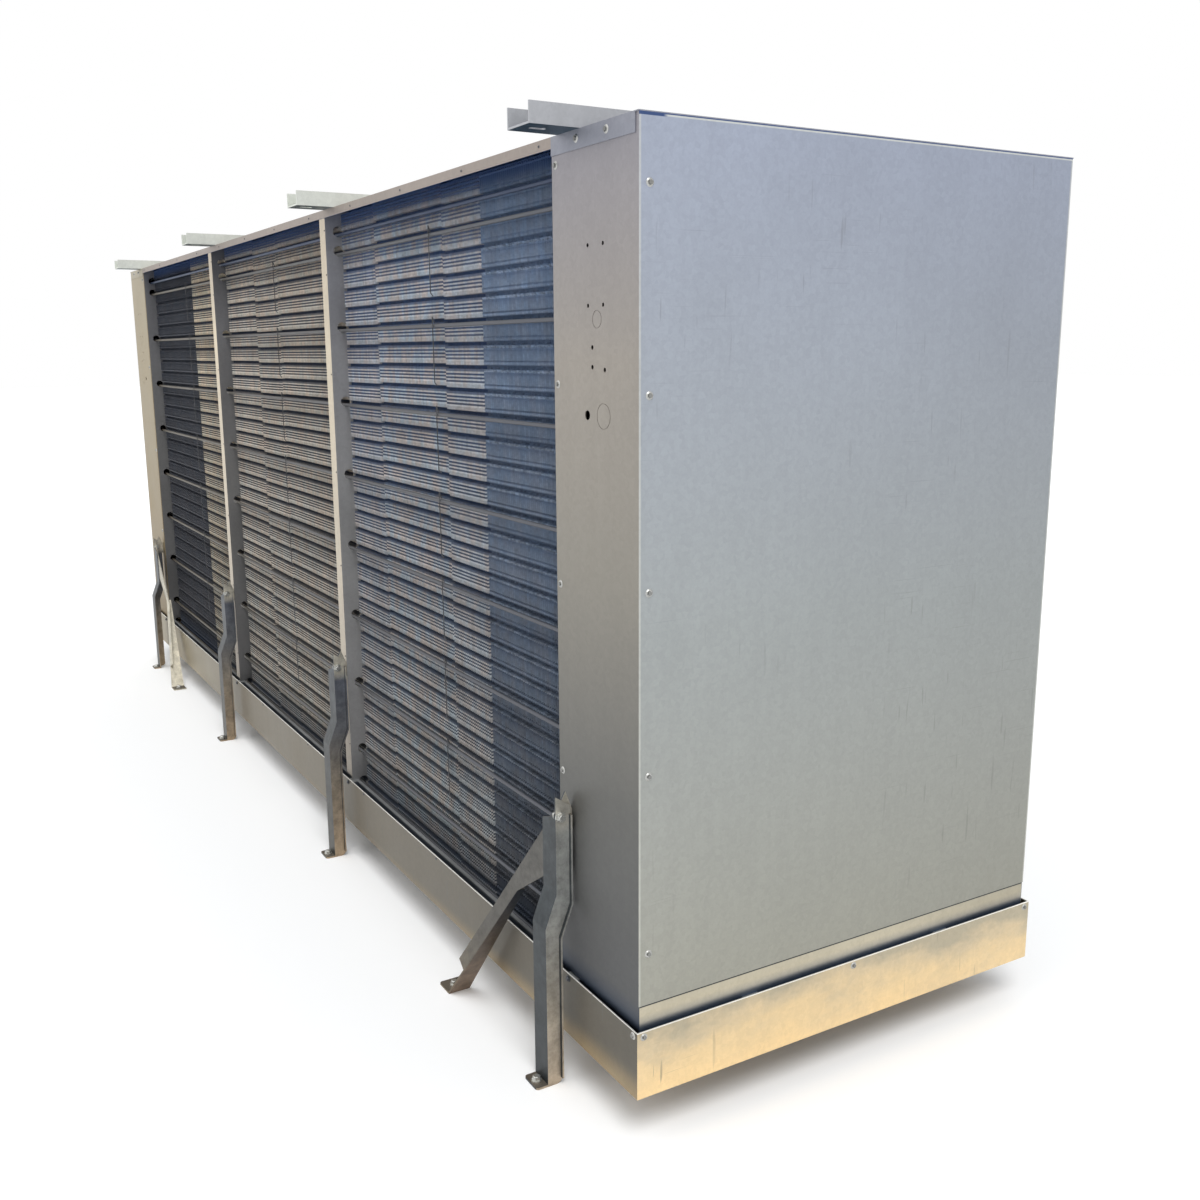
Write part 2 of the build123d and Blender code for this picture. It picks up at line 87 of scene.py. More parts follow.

# Painted light and shade on a fin below the middle of each groove, bright lines where its edge
# faces
# up and painted shade in the groove: drop in mm, and lightness
RIPPLED_SHADES = ((0.0, 0.0), (3.6, 0.04), (5.4, 0.18), (9.8, 0.24), (11.6, 1.0), (14.4, 1.0),
                  (15.8, 0.08), (19.0, 0.08), (20.4, 1.0), (23.0, 1.0), (24.4, 0.12),
                  (27.6, 0.12), (29.0, 1.0), (31.8, 1.0), (33.2, 0.20), (36.6, 0.20),
                  (38.2, 1.0), (42.2, 0.9), (49.4, 0.95), (51.4, 0.05))
FLAT_SHADES = ((0.0, 0.0), (5.0, 0.05), (6.8, 0.95), (10.0, 0.95), (11.6, 0.12), (16.5, 0.14),
               (19.0, 0.40), (26.0, 0.58), (38.5, 0.76), (40.5, 0.34), (43.5, 0.30), (45.5, 0.60),
               (48.5, 0.58), (50.5, 0.05))

# Wires that tie the heater rods to the coil, in one column for each bay, at TIE_WIRES along the
# unit. A column's highest wire hangs TIE_SHIFT to its left, and the wires below come back to it
# over TIE_SHIFT_STEPS.
TIE_WIRES = (1.412, 0.045, -1.322)
TIE_SHIFT = 16.0 * MM
TIE_SHIFT_STEPS = 2
TIE_RADIUS = 1.3 * MM
TIE_RISE = 22.0 * MM
TIE_DROP = 140.0 * MM
TIE_LEAN = 3.0 * MM
TIE_CURL = Vector((6.0 * MM, 4.0 * MM, -8.0 * MM))

# Screws: radii and heights of the washer and the head. Turns are in radians.
SCREW_HIGH = 4.5 * MM
SCREW_WASHER = 8.2 * MM
SCREW_WASHER_TOP = 0.75 * SCREW_WASHER
SCREW_WASHER_HIGH = 0.4 * SCREW_HIGH
SCREW_HEAD = 4.8 * MM
SCREW_HEAD_TOP = 0.92 * SCREW_HEAD
SCREW_HEAD_START = 0.25 * SCREW_HIGH
SCREW_HEAD_HIGH = SCREW_HIGH - SCREW_HEAD_START
SCREW_TURN = 0.3

# Bolts: radii and heights of the washer, the hexagon head and the round crown on it
BOLT_HIGH = 9.5 * MM
BOLT_WASHER = 12.0 * MM
BOLT_WASHER_HIGH = 2.5 * MM
BOLT_HEAD = 10.0 * MM
BOLT_HEAD_START = 0.9 * BOLT_WASHER_HIGH
BOLT_HEAD_HIGH = 0.8 * BOLT_HIGH
BOLT_CROWN = 0.84 * BOLT_HEAD
BOLT_CROWN_TOP = 0.66 * BOLT_HEAD
BOLT_CROWN_START = BOLT_WASHER_HIGH + 0.65 * BOLT_HIGH
BOLT_CROWN_HIGH = 0.3 * BOLT_HIGH
BOLT_TURN = 0.4

# Rivets, and the small screws that look like them: radii and height
TOP_RIVET = 3.2 * MM
PAN_RIVET = 4.0 * MM
FLANGE_SCREW = 2.6 * MM
RIVET_HIGH = 1.8 * MM
RIVET_TOP_SHARE = 0.5

# Places of the fixings. The flange screws' heights are over the floor, and the cover and panel
# screws' are over the casing's foot. Insets and drops are from the edge that they stand near.
COVER_SCREW_HEIGHTS = (1.648, 1.228, 0.818, 0.409)
COVER_SCREW_INSET = 0.014
PANEL_SCREW_HEIGHTS = (1.583, 1.213, 0.847, 0.484, 0.111)
PANEL_SCREW_INSET = 0.022
CAP_SCREW_INSETS = (0.221, 0.110)
CAP_SCREW_DROP = 0.008
PAN_SCREW_DROP = 0.012
PAN_CORNER_INSET = 0.016
PAN_LEG_SCREW_DROP = 0.013
PAN_LEG_SCREW_INSET = 0.016
PAN_RIVETS = 6
PAN_RIVET_STEP = 0.572
PAN_RIVET_SHIFT = -0.020
PAN_RIVET_DROP = 0.008
FLANGE_SCREW_HEIGHTS = (1.950, 1.824, 1.534, 1.240, 0.950, 0.660, 0.370)
FLANGE_SCREW_INSET = 0.006
TOP_RIVET_STEP = 0.350
TOP_RIVET_INSET = 0.050
TOP_RIVET_DROP = 0.011

# Legs and braces, as in the CAD model. The last leg of each row is turned the other way.
LEGS = 4
LEG_LIP = 0.009
LEG_WIDTH = 0.060
LEG_BOLT_DROP = 0.046
LEG_BOLT_OUT = 0.031
LEG_NUT_BACK = 0.008
FOOT_HOLE_INSET = 0.015
FOOT_TOP = 0.005
BRACE_BOLT = (1.645, 0.6325)

# Finishes of galvanised sheet, and the values that a noise mostly lies between
SHEET_METALLIC = 0.75
SHEET_ROUGH = (0.42, 0.56)
EVEN = (1.0, 1.0, 1.0)
NOISE_SPAN = (0.3, 0.7)
SCRATCH_COLOUR = (0.14, 0.14, 0.13)

# The sockets of a Mix node that hold its colours
MIX_COLOURS_IN = (6, 7)
MIX_COLOUR_OUT = 2

# Heights between which the colours of a sheet change
CASING_SPAN = (0.25, 2.0)
PANEL_SPAN = (0.30, 2.0)
CAP_SPAN = (1.9, 2.0)
RING_SPAN = (0.6, 1.6)
STRIP_SPAN = (0.25, 0.31)
RAIL_SPAN = (0.21, 0.25)
PAN_SPAN = (0.107, 0.256)
LEG_SPAN = (0.0, 0.65)
FIN_SPAN = (0.3, 1.8)
FIN_SHADE_SPAN = (1.945, 1.985)
FIN_FOOT_SHADE_SPAN = (0.32, 0.23)
ROD_SHADE_SPAN = (1.90, 1.92)

# Places along the unit, and across it from the coil face to the fans, between which they change
FAR_TO_NEAR = (-0.5, 0.5)
PAN_ALONG = (-2.43, 2.43)
PAN_ACROSS = (-0.57, 0.57)
PAN_GOLD_ALONG = (1.0, 2.4)
STRIP_ACROSS = (0.1, 0.56)
TUBE_SHEETS_ALONG = (-0.6, 0.7)
RODS_ALONG = (-2.1, 2.1)
TO_FAN_SIDE = (0.0, 0.2)

# Painted highlights along the edges of the end panels, and painted shade at their top front corner
# and along their top: where each starts and ends, in mm from the edge
FRONT_EDGE = (3.0, 3.5)
BACK_EDGE = (-4.0, -3.0)
TOP_EDGE = (-5.5, -4.5)
CORNER_LONG = (60.0, 50.0)
CORNER_DROP = (-6.0, -5.5)
TOP_SHADE_DROP = (-2.2, -1.8)

# Camera fitted to the photograph: angles in degrees, lens and sensor in mm
CAMERA_PLACE = (4.286, -1.750, 1.598)
CAMERA_TURN = 59.434
CAMERA_TILT = -11.654
CAMERA_ROLL = -0.351
CAMERA_LENS = 36.196
SENSOR_WIDTH = 36.0
CAMERA_SEES = (0.05, 200.0)

# Room and light. A sun has a name, strength, spread, heading and height, angles in degrees.
FLOOR_REACH = 60.0
FLOOR_COLOUR = (0.985, 0.980, 0.970)
SKY_COLOUR = (0.93, 0.96, 1.0)
SKY_STRENGTH = 0.75
SUNS = (("key", 1.6, 30.0, -20.0, 58.0), ("fill", 0.5, 60.0, -110.0, 35.0))

# Faces of the casing and the coil
CASING_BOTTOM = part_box("end_panel_right")[0].z
CASING_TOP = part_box("end_panel_right")[1].z
END_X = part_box("end_panel_right")[1].x
FRONT_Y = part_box("end_cover_front_right")[0].y
BACK_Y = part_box("end_cover_back_right")[1].y
COIL_END_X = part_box("end_cover_front_right")[0].x
COIL_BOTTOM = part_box("fin_pack_1")[0].z
FIN_TOP = CASING_TOP - 1.0 * MM


# Mesh building


class Parts:
    """Collects closed shapes, which become one joined mesh."""

    def __init__(self):
        self.points = []
        self.faces = []

    def add(self, points, faces):
        start = len(self.points)
        self.points.extend(tuple(p) for p in points)
        self.faces.extend(tuple(start + i for i in face) for face in faces)

    def build(self, name, material, slot, smooth=False):
        mesh = bpy.data.meshes.new(name)
        mesh.from_pydata(self.points, [], self.faces)
        mesh.validate()
        if smooth:
            mesh.shade_smooth()
        mesh.materials.append(material)
        piece = bpy.data.objects.new(name, mesh)
        bpy.context.scene.collection.objects.link(piece)
        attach(piece, "root")
        return piece


def turn_to(axis):
    return Vector(axis).to_track_quat("Z", "Y").to_matrix()


def drum(parts, place, axis, radius, high, sides=ROUND_SIDES, top=None, turn=0.0):
    """A closed prism or frustum that stands on place along axis."""
    turned = turn_to(axis)
    rings = []
    for level, ring_radius in ((0.0, radius), (high, radius if top is None else top)):
        for i in range(sides):
            angle = turn + 2 * math.pi * i / sides
            local = Vector((ring_radius * math.cos(angle), ring_radius * math.sin(angle), level))
            rings.append(Vector(place) + turned @ local)
    faces = [tuple(reversed(range(sides))), tuple(range(sides, 2 * sides))]
    for i in range(sides):
        after = (i + 1) % sides
        faces.append((i, after, sides + after, sides + i))
    parts.add(rings, faces)


def bar(parts, start, end, radius):
    """A round bar between two points."""
    along = Vector(end) - Vector(start)
    drum(parts, start, along, radius, along.length, WIRE_SIDES)


def box(parts, low, high):
    """A closed box between two corners."""
    xs, ys, zs = zip(low, high)
    points = [(x, y, z) for z in zs for y in ys for x in xs]
    faces = [(0, 2, 3, 1), (4, 5, 7, 6), (0, 1, 5, 4), (2, 6, 7, 3), (0, 4, 6, 2), (1, 3, 7, 5)]
    parts.add(points, faces)


def screw(heads, washers, place, axis):
    """A hexagon screw head with its washer."""
    place = Vector(place)
    axis = Vector(axis)
    drum(washers, place, axis, SCREW_WASHER, SCREW_WASHER_HIGH, top=SCREW_WASHER_TOP)
    drum(heads, place + axis * SCREW_HEAD_START, axis, SCREW_HEAD, SCREW_HEAD_HIGH, HEX_SIDES,
         SCREW_HEAD_TOP, SCREW_TURN)


def bolt(parts, place, axis):
    """A hexagon bolt head with a round crown, on a washer."""
    place = Vector(place)
    axis = Vector(axis)
    drum(parts, place, axis, BOLT_WASHER, BOLT_WASHER_HIGH)
    drum(parts, place + axis * BOLT_HEAD_START, axis, BOLT_HEAD, BOLT_HEAD_HIGH, HEX_SIDES,
         turn=BOLT_TURN)
    drum(parts, place + axis * BOLT_CROWN_START, axis, BOLT_CROWN, BOLT_CROWN_HIGH,
         top=BOLT_CROWN_TOP)


def rivet(parts, place, axis, radius):
    drum(parts, place, axis, radius, RIVET_HIGH, RIVET_SIDES, radius * RIVET_TOP_SHARE)


# Materials


class Finish:
    """A node material, built a step at a time."""

    def __init__(self, name, metallic=SHEET_METALLIC):
        self.material = bpy.data.materials.new(name)
        self.material.use_nodes = True
        self.nodes = self.material.node_tree.nodes
        self.links = self.material.node_tree.links
        self.shader = self.nodes["Principled BSDF"]
        self.shader.inputs["Metallic"].default_value = metallic
        self.place = self.nodes.new("ShaderNodeTexCoord").outputs["Object"]

    def scaled(self, scale):
        node = self.nodes.new("ShaderNodeMapping")
        node.inputs["Scale"].default_value = scale
        self.links.new(self.place, node.inputs["Vector"])
        return node.outputs["Vector"]

    def noise(self, scale, size, detail, roughness):
        """Noise from 0 to 1, stretched by scale."""
        node = self.nodes.new("ShaderNodeTexNoise")
        node.inputs["Scale"].default_value = size
        node.inputs["Detail"].default_value = detail
        node.inputs["Roughness"].default_value = roughness
        self.links.new(self.scaled(scale), node.inputs["Vector"])
        return node.outputs["Fac"]

    def spangle(self, size):
        """Grains that each have a value from 0 to 1."""
        node = self.nodes.new("ShaderNodeTexVoronoi")
        node.inputs["Scale"].default_value = size
        self.links.new(self.place, node.inputs["Vector"])
        split = self.nodes.new("ShaderNodeSeparateColor")
        self.links.new(node.outputs["Color"], split.inputs["Color"])
        return split.outputs[0]

    def ranged(self, value, source, target=(0.0, 1.0), smooth=False):
        node = self.nodes.new("ShaderNodeMapRange")
        node.interpolation_type = "SMOOTHSTEP" if smooth else "LINEAR"
        node.clamp = True
        node.inputs["From Min"].default_value = source[0]
        node.inputs["From Max"].default_value = source[1]
        node.inputs["To Min"].default_value = target[0]
        node.inputs["To Max"].default_value = target[1]
        self.links.new(value, node.inputs["Value"])
        return node.outputs["Result"]

    def math(self, operation, first, second=0.0):
        node = self.nodes.new("ShaderNodeMath")
        node.operation = operation
        for socket, value in zip(node.inputs, (first, second)):
            if isinstance(value, float):
                socket.default_value = value
            else:
                self.links.new(value, socket)
        return node.outputs["Value"]

    def mixed(self, factor, value):
        """value where factor is 0, and 1 where factor is 1."""
        return self.math("ADD", self.math("MULTIPLY", self.math("SUBTRACT", 1.0, factor), value),
                         factor)

    def part(self, vector, index):
        node = self.nodes.new("ShaderNodeSeparateXYZ")
        self.links.new(vector, node.inputs["Vector"])
        return node.outputs[index]

    def axis(self, index):
        """The place along an axis, in metres."""
        return self.part(self.place, index)

    def facing(self, index):
        """How far the surface faces along an axis, from -1 to 1."""
        return self.part(self.nodes.new("ShaderNodeNewGeometry").outputs["Normal"], index)

    def along(self, index, span, target=(0.0, 1.0), smooth=False):
        """From target[0] to target[1] as the place along an axis runs through span."""
        return self.ranged(self.axis(index), span, target, smooth)

    def beside(self, index, edge, offsets, target=(0.0, 1.0)):
        """As along, where the span is given in mm from an edge."""
        return self.along(index, [edge + offset * MM for offset in offsets], target)

    def ramp(self, value, stops):
        """Colours by value. stops are places from 0 to 1, each with its colour."""
        node = self.nodes.new("ShaderNodeValToRGB")
        elements = node.color_ramp.elements
        while len(elements) < len(stops):
            elements.new(0.5)
        for element, (place, colour) in zip(elements, stops):
            element.position = place
            element.color = (*colour, 1.0)
        self.links.new(value, node.inputs["Fac"])
        return node.outputs["Color"]

    def mix(self, factor, first, second, blend="MIX"):
        node = self.nodes.new("ShaderNodeMix")
        node.data_type = "RGBA"
        node.blend_type = blend
        if isinstance(factor, float):
            node.inputs["Factor"].default_value = factor
        else:
            self.links.new(factor, node.inputs["Factor"])
        for index, value in zip(MIX_COLOURS_IN, (first, second)):
            if isinstance(value, tuple):
                node.inputs[index].default_value = (*value, 1.0)
            else:
                self.links.new(value, node.inputs[index])
        return node.outputs[MIX_COLOUR_OUT]

    def shaded(self, colour, amount):
        """colour, times a value around 1."""
        grey = self.nodes.new("ShaderNodeCombineColor")
        for socket in grey.inputs[:3]:
            self.links.new(amount, socket)
        return self.mix(1.0, colour, grey.outputs["Color"], "MULTIPLY")

    def varied(self, colour, value, amount, source=NOISE_SPAN):
        """colour, darker and lighter by amount as value runs through source."""
        return self.shaded(colour, self.ranged(value, source, (1.0 - amount, 1.0 + amount)))

    def colour(self, colour):
        self.links.new(colour, self.shader.inputs["Base Color"])

    def rough(self, value):
        self.links.new(value, self.shader.inputs["Roughness"])

    def bump(self, height, strength, distance):
        node = self.nodes.new("ShaderNodeBump")
        node.inputs["Strength"].default_value = strength
        node.inputs["Distance"].default_value = distance
        self.links.new(height, node.inputs["Height"])
        self.links.new(node.outputs["Normal"], self.shader.inputs["Normal"])

    def scratched(self, base, amount):
        """base with fine dark scratches along the sheet and up it, in some places."""
        level = self.noise((3.0, 5.0, 420.0), 1.0, 2.0, 0.4)
        upright = self.noise((90.0, 90.0, 9.0), 1.0, 1.0, 0.4)
        where = self.noise((1.3, 1.3, 1.3), 1.6, 2.0, 0.5)
        for mark in (level, upright):
            mask = self.math("MULTIPLY", self.ranged(mark, (0.70, 0.75)),
                             self.ranged(where, (0.46, 0.60), (0.0, amount)))
            base = self.mix(mask, base, SCRATCH_COLOUR)
        return base

    def zinc(self, base, mottle, rough=SHEET_ROUGH, scratches=0.0):
        """Finish a base colour as dull galvanised sheet: clouds, streaks, spangle, fine grain."""
        cloud = self.noise(EVEN, 2.3, 5.0, 0.6)
        streak = self.noise((26.0, 26.0, 1.4), 1.0, 4.0, 0.6)
        fine = self.noise(EVEN, 160.0, 3.0, 0.7)
        base = self.varied(base, cloud, mottle)
        base = self.varied(base, streak, mottle / 3)
        base = self.varied(base, self.spangle(95.0), 0.03, (0.0, 1.0))
        base = self.varied(base, fine, 0.03)
        if scratches:
            base = self.scratched(base, scratches)
        self.colour(base)
        self.rough(self.ranged(cloud, NOISE_SPAN, rough))
        self.bump(self.math("ADD", cloud, self.math("MULTIPLY", fine, 0.06)), 0.25, 4.0 * MM)
        return self.material

    def metal(self, base, spot, rough):
        """Finish a base colour as metal with small spots and dents."""
        self.colour(base)
        self.rough(self.ranged(spot, NOISE_SPAN, rough))
        self.bump(spot, 0.15, 0.8 * MM)
        return self.material


def galvanised(name, stops, span, mottle=0.08):
    """Galvanised sheet. stops are its colours from low to high, between the heights in span."""
    finish = Finish(name)
    return finish.zinc(finish.ramp(finish.along(Z, span), stops), mottle)


def shaded_sheet(name, colour, under):
    """Galvanised sheet whose underside is in shade."""
    finish = Finish(name)
    down = finish.ranged(finish.facing(Z), (-0.6, -0.9))
    return finish.zinc(finish.mix(down, colour, under), 0.08)


def panel_finish():
    """The end panels: painted reflection of blue sky high up and of the ground low down, a little
    darker towards the back, with painted highlights along their edges and painted shade at their
    top front corner and along their top.
    """
    finish = Finish("panel_sheet")
    base = finish.ramp(finish.along(Z, PANEL_SPAN),
                       ((0.0, (0.342, 0.337, 0.290)), (0.45, (0.337, 0.356, 0.354)),
                        (1.0, (0.342, 0.376, 0.460))))
    base = finish.shaded(base, finish.along(Y, (FRONT_Y, BACK_Y), (1.02, 0.88)))
    # Painted highlights along the front, back and top edges
    front = finish.beside(Y, FRONT_Y, FRONT_EDGE, (0.45, 0.0))
    back = finish.beside(Y, BACK_Y, BACK_EDGE, (0.0, 0.5))
    top = finish.beside(Z, CASING_TOP, TOP_EDGE, (0.0, 0.8))
    base = finish.mix(finish.math("MAXIMUM", front, back), base, (0.620, 0.620, 0.560))
    base = finish.mix(top, base, (0.600, 0.610, 0.570))
    # Painted shade at the top front corner and along the top
    corner_shade = finish.math("MULTIPLY", finish.beside(Y, FRONT_Y, CORNER_LONG),
                         finish.beside(Z, CASING_TOP, CORNER_DROP))
    top_shade = finish.beside(Z, CASING_TOP, TOP_SHADE_DROP)
    base = finish.mix(finish.math("MAXIMUM", top_shade, corner_shade), base, (0.050, 0.085, 0.200))
    return finish.zinc(base, 0.05, scratches=0.25)


def cover_finish():
    """The front covers: grey at the near end, tan at the far one, darker low down as painted
    shade, darkest just above the pan.
    """
    finish = Finish("cover_sheet")
    height = finish.along(Z, CASING_SPAN)
    # Painted shade low down, deepest just above the pan
    near = finish.ramp(height, ((0.0, (0.035, 0.052, 0.085)), (0.035, (0.108, 0.110, 0.112)),
                                (0.26, (0.138, 0.137, 0.128)), (0.52, (0.262, 0.245, 0.211)),
                                (0.76, (0.315, 0.288, 0.256)), (1.0, (0.285, 0.275, 0.300))))
    far = finish.ramp(height, ((0.0, (0.200, 0.150, 0.080)), (0.3, (0.280, 0.220, 0.130)),
                               (0.7, (0.340, 0.285, 0.190)), (1.0, (0.380, 0.330, 0.240))))
    base = finish.mix(finish.along(X, FAR_TO_NEAR), far, near)
    return finish.zinc(base, 0.06)


def strip_finish():
    """The strip over the pan: in shade at its foot and along its upper edge."""
    finish = Finish("strip_sheet")
    base = finish.ramp(finish.along(Z, STRIP_SPAN),
                       ((0.0, (0.080, 0.120, 0.190)), (0.12, (0.160, 0.190, 0.235)),
                        (0.30, (0.460, 0.430, 0.360)), (0.55, (0.550, 0.495, 0.375)),
                        (0.84, (0.530, 0.485, 0.375)), (0.86, (0.030, 0.034, 0.042))))
    base = finish.shaded(base, finish.along(Y, STRIP_ACROSS, (1.0, 0.78)))
    return finish.zinc(base, 0.10)


def pan_finish():
    """The pan: grey-brown along its front, darker towards the near end, with a painted golden
    reflection along the foot of the front, painted golden, cloudy reflections at its ends and a
    painted highlight along the rim and on what faces up.
    """
    finish = Finish("pan_sheet")
    height = finish.along(Z, PAN_SPAN)
    front = finish.ramp(finish.along(X, PAN_ALONG),
                        ((0.0, (0.290, 0.250, 0.175)), (0.4, (0.205, 0.180, 0.138)),
                         (0.75, (0.165, 0.148, 0.118)), (1.0, (0.125, 0.114, 0.092))))
    # Painted golden reflection along the foot of the front
    rise = finish.along(X, PAN_GOLD_ALONG, (0.3, 0.0))
    golden_reflection = finish.ranged(finish.math("ADD", height, rise), (0.45, 0.0), (0.0, 0.8), True)
    front = finish.mix(golden_reflection, front, (0.380, 0.285, 0.160))
    # Painted reflection on the ends: golden low down, greyer high up and towards the back, in
    # clouds
    cloud = finish.noise((1.0, 1.5, 3.0), 2.6, 4.0, 0.6)
    shifted = finish.math("ADD", height, finish.ranged(cloud, NOISE_SPAN, (-0.32, 0.32)))
    shifted = finish.math("ADD", shifted, finish.along(Y, PAN_ACROSS, (-0.18, 0.20)))
    end = finish.ramp(shifted, ((0.0, (0.860, 0.640, 0.350)), (0.45, (0.760, 0.585, 0.345)),
                                (0.75, (0.620, 0.505, 0.335)), (1.0, (0.450, 0.395, 0.290))))
    base = finish.mix(finish.ranged(finish.facing(X), (0.3, 0.8)), front, end)
    # Painted highlight on what faces up and along the top of the rim
    rim = finish.math("MAXIMUM", finish.ranged(finish.facing(Z), (0.5, 0.9)),
                      finish.ranged(height, (0.985, 0.988)))
    base = finish.mix(rim, base, (0.900, 0.880, 0.820))
    return finish.zinc(base, 0.08, (0.36, 0.5), 0.75)


def tube_sheet_finish():
    """The tube sheets: cream front flanges, and dark blue-grey webs whose colour is painted shade,
    deeper towards the far end.
    """
    finish = Finish("tube_plate")
    height = finish.along(Z, CASING_SPAN)
    flange = finish.ramp(height, ((0.0, (0.360, 0.320, 0.270)), (0.4, (0.520, 0.460, 0.370)),
                                  (0.8, (0.640, 0.560, 0.430)), (1.0, (0.540, 0.470, 0.370))))
    # The webs' colour is painted shade, as they face sideways in the coil's shade
    web = finish.ramp(height, ((0.0, (0.330, 0.325, 0.325)), (0.5, (0.420, 0.415, 0.410)),
                               (1.0, (0.370, 0.370, 0.395))))
    web = finish.shaded(web, finish.along(X, TUBE_SHEETS_ALONG, (0.52, 1.0)))
    sideways = finish.math("ABSOLUTE", finish.facing(X))
    base = finish.mix(finish.ranged(sideways, (0.4, 0.8)), flange, web)
    return finish.zinc(base, 0.12)


def leg_finish(name, front_stops, side_stops, far=None):
    """A leg or brace: one run of colours for what faces forward, dark as painted shade, another
    for its sides, and perhaps its colour at the far end of the unit. The ones on the fan side are
    plain grey."""
    finish = Finish(name, 0.7)
    height = finish.along(Z, LEG_SPAN)
    front = finish.ramp(height, front_stops)
    side = finish.ramp(height, side_stops)
    # What faces forward takes the darker colours, as painted shade
    base = finish.mix(finish.ranged(finish.facing(X), (0.3, 0.7)), front, side)
    if far:
        base = finish.mix(finish.along(X, FAR_TO_NEAR), far, base)
    base = finish.mix(finish.along(Y, TO_FAN_SIDE), base, (0.260, 0.260, 0.250))
    scuff = finish.noise(EVEN, 34.0, 6.0, 0.7)
    base = finish.varied(base, scuff, 0.25, (0.35, 0.65))
    upward = finish.ranged(finish.facing(Z), (0.6, 0.9))
    base = finish.mix(upward, base, (0.185, 0.160, 0.130))
    return finish.zinc(base, 0.14, (0.36, 0.52))


def fin_finish(name, shift, shades, dark, light, tinge):
    """One block of fins, with painted light and shade. shades run down from each groove: painted
    bright lines where the fins' ripples face up, and painted shade in the grooves. dark and light
    are the shaded and the lit colours low on the coil and high on it, and tinge is how far the
    fins turn rosy or blue in places. Painted shade also darkens the top and the foot of the coil."""
    finish = Finish(name, 0.1)
    groove = COIL_BOTTOM + shift + TUBE_PITCH / 2
    drop = finish.math("DIVIDE", finish.math("SUBTRACT", groove, finish.axis(Z)), TUBE_PITCH)
    drop = finish.math("FRACT", finish.math("ADD", drop, ROWS_ADDED))
    # The shades paint the bright lines and the grooves' shade
    stops = [(place * MM / TUBE_PITCH, (shade, shade, shade)) for place, shade in shades]
    lightness = finish.ramp(drop, (*stops, (1.0, (0.0, 0.0, 0.0))))
    height = finish.along(Z, FIN_SPAN)
    base = finish.mix(lightness, finish.ramp(height, ((0.0, dark[0]), (1.0, dark[1]))),
                      finish.ramp(height, ((0.0, light[0]), (1.0, light[1]))))
    if shades is FLAT_SHADES:
        # Painted glints that break up the bright line and the groove's painted shade in the flat
        # blocks
        glints = finish.noise((1.0, 0.2, 0.5), 260.0, 2.0, 0.6)
        base = finish.shaded(base, finish.mixed(
            finish.ranged(drop, (0.20, 0.24)), finish.ranged(glints, (0.40, 0.60), (0.75, 1.3))))
    each = finish.noise((100.0, 0.3, 0.8), 1.0, 1.0, 0.5)
    spot = finish.noise((1.0, 0.2, 1.0), 90.0, 3.0, 0.7)
    wide = finish.noise((1.0, 0.2, 1.6), 5.0, 3.0, 0.6)
    tint = finish.noise((1.8, 0.2, 1.0), 17.0, 1.0, 0.5)
    base = finish.varied(base, each, 0.08, (0.35, 0.65))
    base = finish.varied(base, spot, 0.16)
    base = finish.varied(base, wide, 0.10)
    cool = (1.0 - 1.2 * tinge, 1.0 + 0.2 * tinge, 1.0 + tinge)
    warm = (1.0 + tinge, 1.0 - 0.2 * tinge, 1.0 - 1.2 * tinge)
    base = finish.mix(1.0, base, finish.ramp(tint, ((0.40, cool), (0.60, warm))), "MULTIPLY")
    # Painted shade under the top of the casing and at the foot of the coil
    shade = finish.along(Z, FIN_SHADE_SPAN, (0.0, 0.8), True)
    base = finish.mix(shade, base, (0.060, 0.115, 0.260))
    foot = finish.along(Z, FIN_FOOT_SHADE_SPAN, (0.0, 0.6), True)
    base = finish.mix(foot, base, (0.060, 0.080, 0.120))
    finish.colour(base)
    finish.rough(finish.ranged(spot, NOISE_SPAN, (0.38, 0.52)))
    finish.bump(spot, 0.2, 0.6 * MM)
    return finish.material


def plain_metal(name, colour, metallic, rough=(0.35, 0.5)):
    """One colour, a tenth darker and lighter in spots, for fixings, wires and painted pieces."""
    finish = Finish(name, metallic)
    spot = finish.noise(EVEN, 60.0, 4.0, 0.6)
    stops = [(place, tuple(share * level for level in colour))
             for place, share in zip(NOISE_SPAN, (0.9, 1.1))]
    return finish.metal(finish.ramp(spot, stops), spot, rough)


def rod_finish():
    """The heater rods: grey at the near end, golden at the far one, with painted shade on the top
    rod.
    """
    finish = Finish("heater_steel", 0.5)
    base = finish.ramp(finish.along(X, RODS_ALONG),
                       ((0.0, (0.104, 0.089, 0.067)), (0.3, (0.098, 0.086, 0.067)),
                        (0.4, (0.084, 0.079, 0.074)), (1.0, (0.085, 0.090, 0.105))))
    # Painted shade on the top rod
    base = finish.mix(finish.along(Z, ROD_SHADE_SPAN), base, (0.020, 0.036, 0.080))
    spot = finish.noise((0.3, 1.0, 1.0), 40.0, 4.0, 0.6)
    return finish.metal(finish.varied(base, spot, 0.12), spot, (0.4, 0.52))


PANEL = panel_finish()
COVER = cover_finish()
STRIP = strip_finish()
PAN = pan_finish()
TUBE_SHEET = tube_sheet_finish()
ROD = rod_finish()
TOP = shaded_sheet("top_sheet", (0.330, 0.285, 0.255), (0.080, 0.160, 0.380))
CAP = galvanised("cap_sheet", ((0.0, (0.265, 0.275, 0.325)), (1.0, (0.280, 0.288, 0.330))),
                 CAP_SPAN)
FAR_CAP = galvanised("cap_far_sheet", ((0.0, (0.400, 0.360, 0.280)), (1.0, (0.400, 0.360, 0.280))),
                     CAP_SPAN)
# The base rail is painted dark blue-grey as shade, with a painted highlight along its top edge
RAIL = galvanised("rail_sheet", ((0.0, (0.060, 0.075, 0.100)), (0.86, (0.090, 0.105, 0.130)),
                                 (1.0, (0.340, 0.350, 0.350))), RAIL_SPAN, 0.25)
